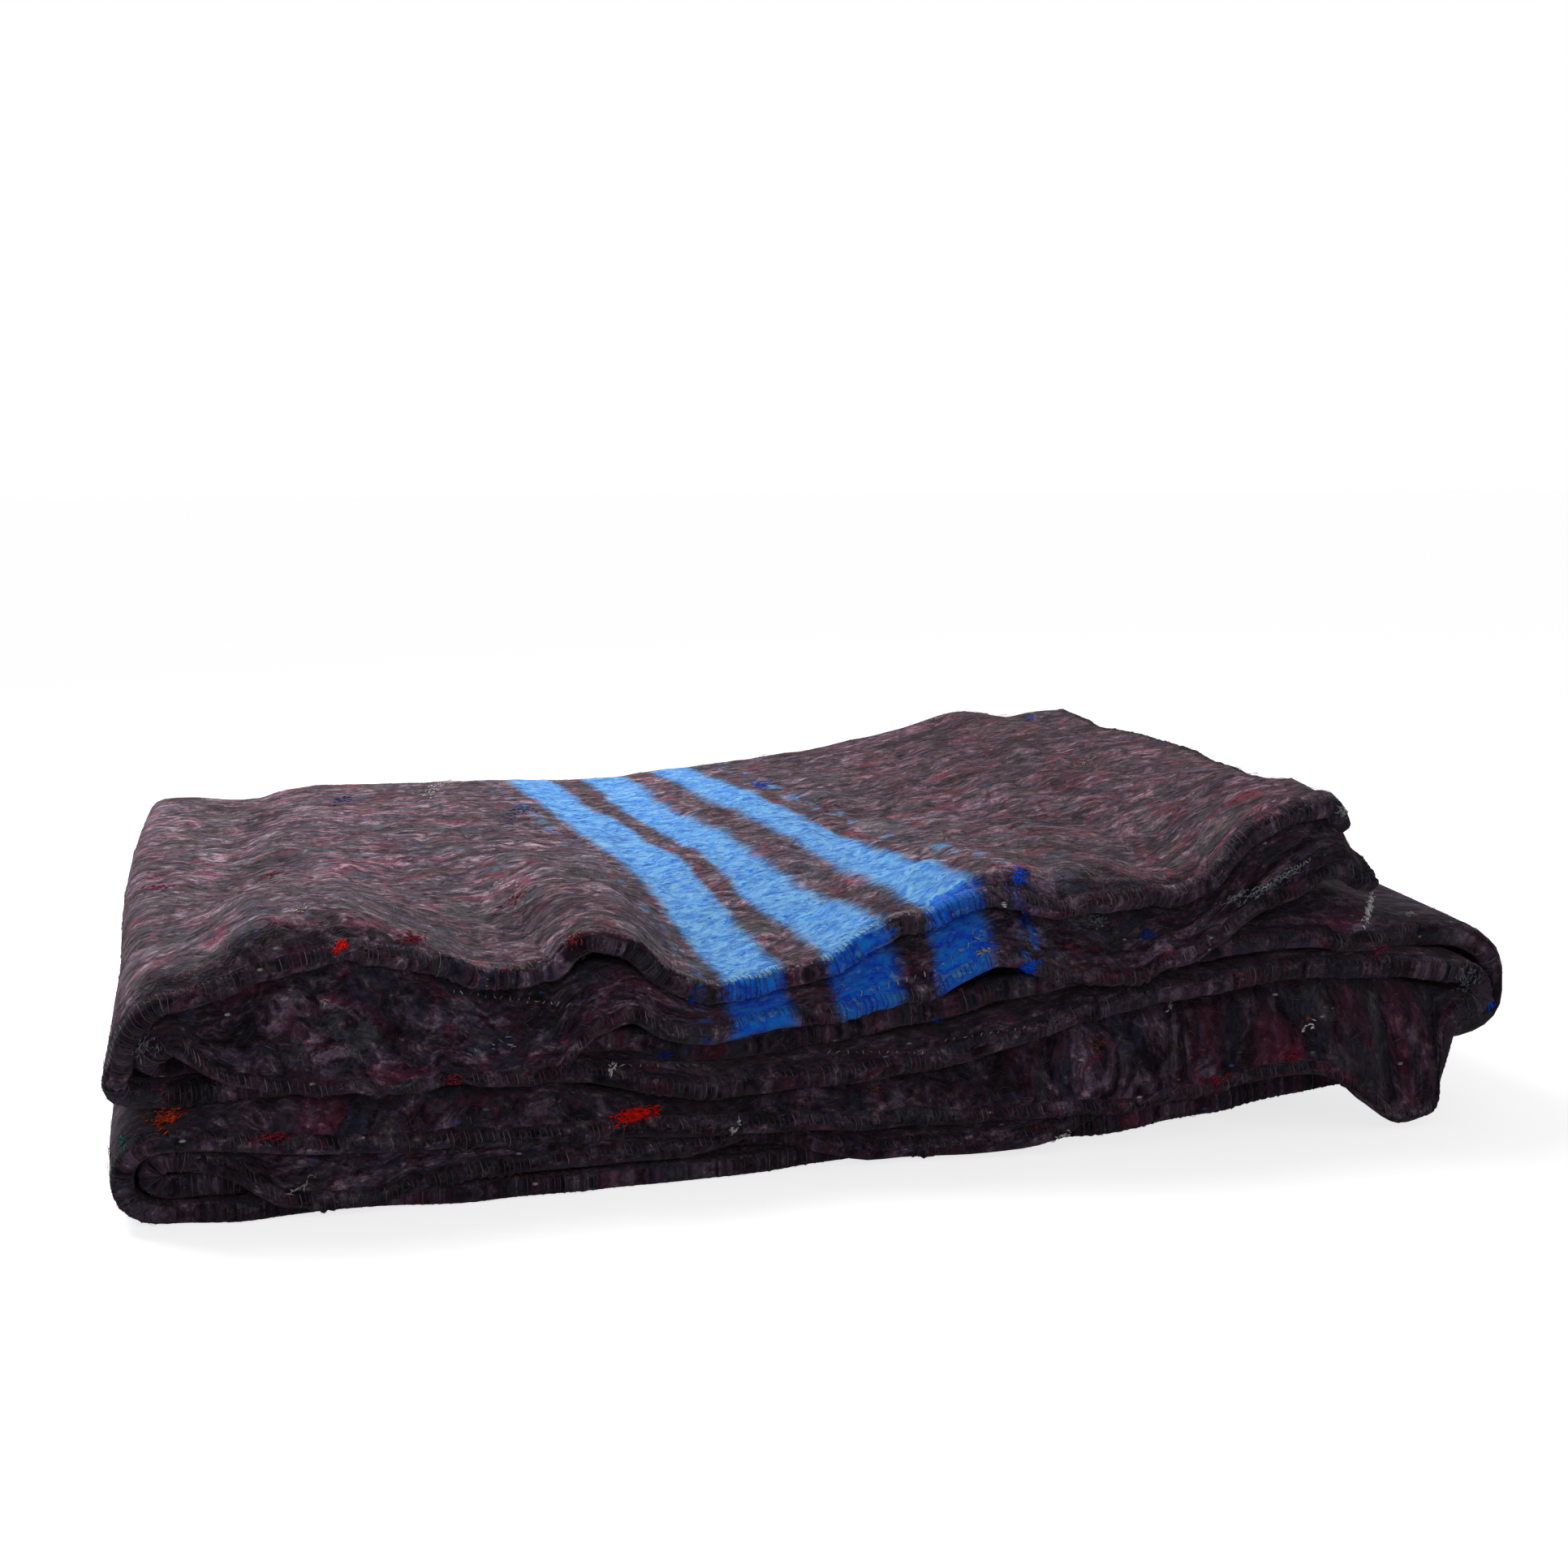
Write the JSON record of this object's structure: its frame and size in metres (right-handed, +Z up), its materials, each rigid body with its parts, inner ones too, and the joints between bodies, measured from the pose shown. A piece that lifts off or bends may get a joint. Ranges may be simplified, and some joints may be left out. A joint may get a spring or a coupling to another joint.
{
  "type": "folded moving blanket",
  "caption": "Thick felt blanket for wrapping furniture, folded in half across its width and then back and forth along its length into a flat bundle.",
  "frame": {"origin": "centre of the flat underside, at the middle of the bounding box", "axes": "+X to the right along the front with the hems, +Y towards the folded back, +Z up"},
  "size_m": [0.6562, 0.558, 0.1592],
  "materials": {
    "recycled_felt": "matt felt of mixed recycled fibres, grey-brown, with blue stripes across it"
  },
  "bodies": {
    "root": {"blanket": "recycled_felt"}
  },
  "joints": []
}
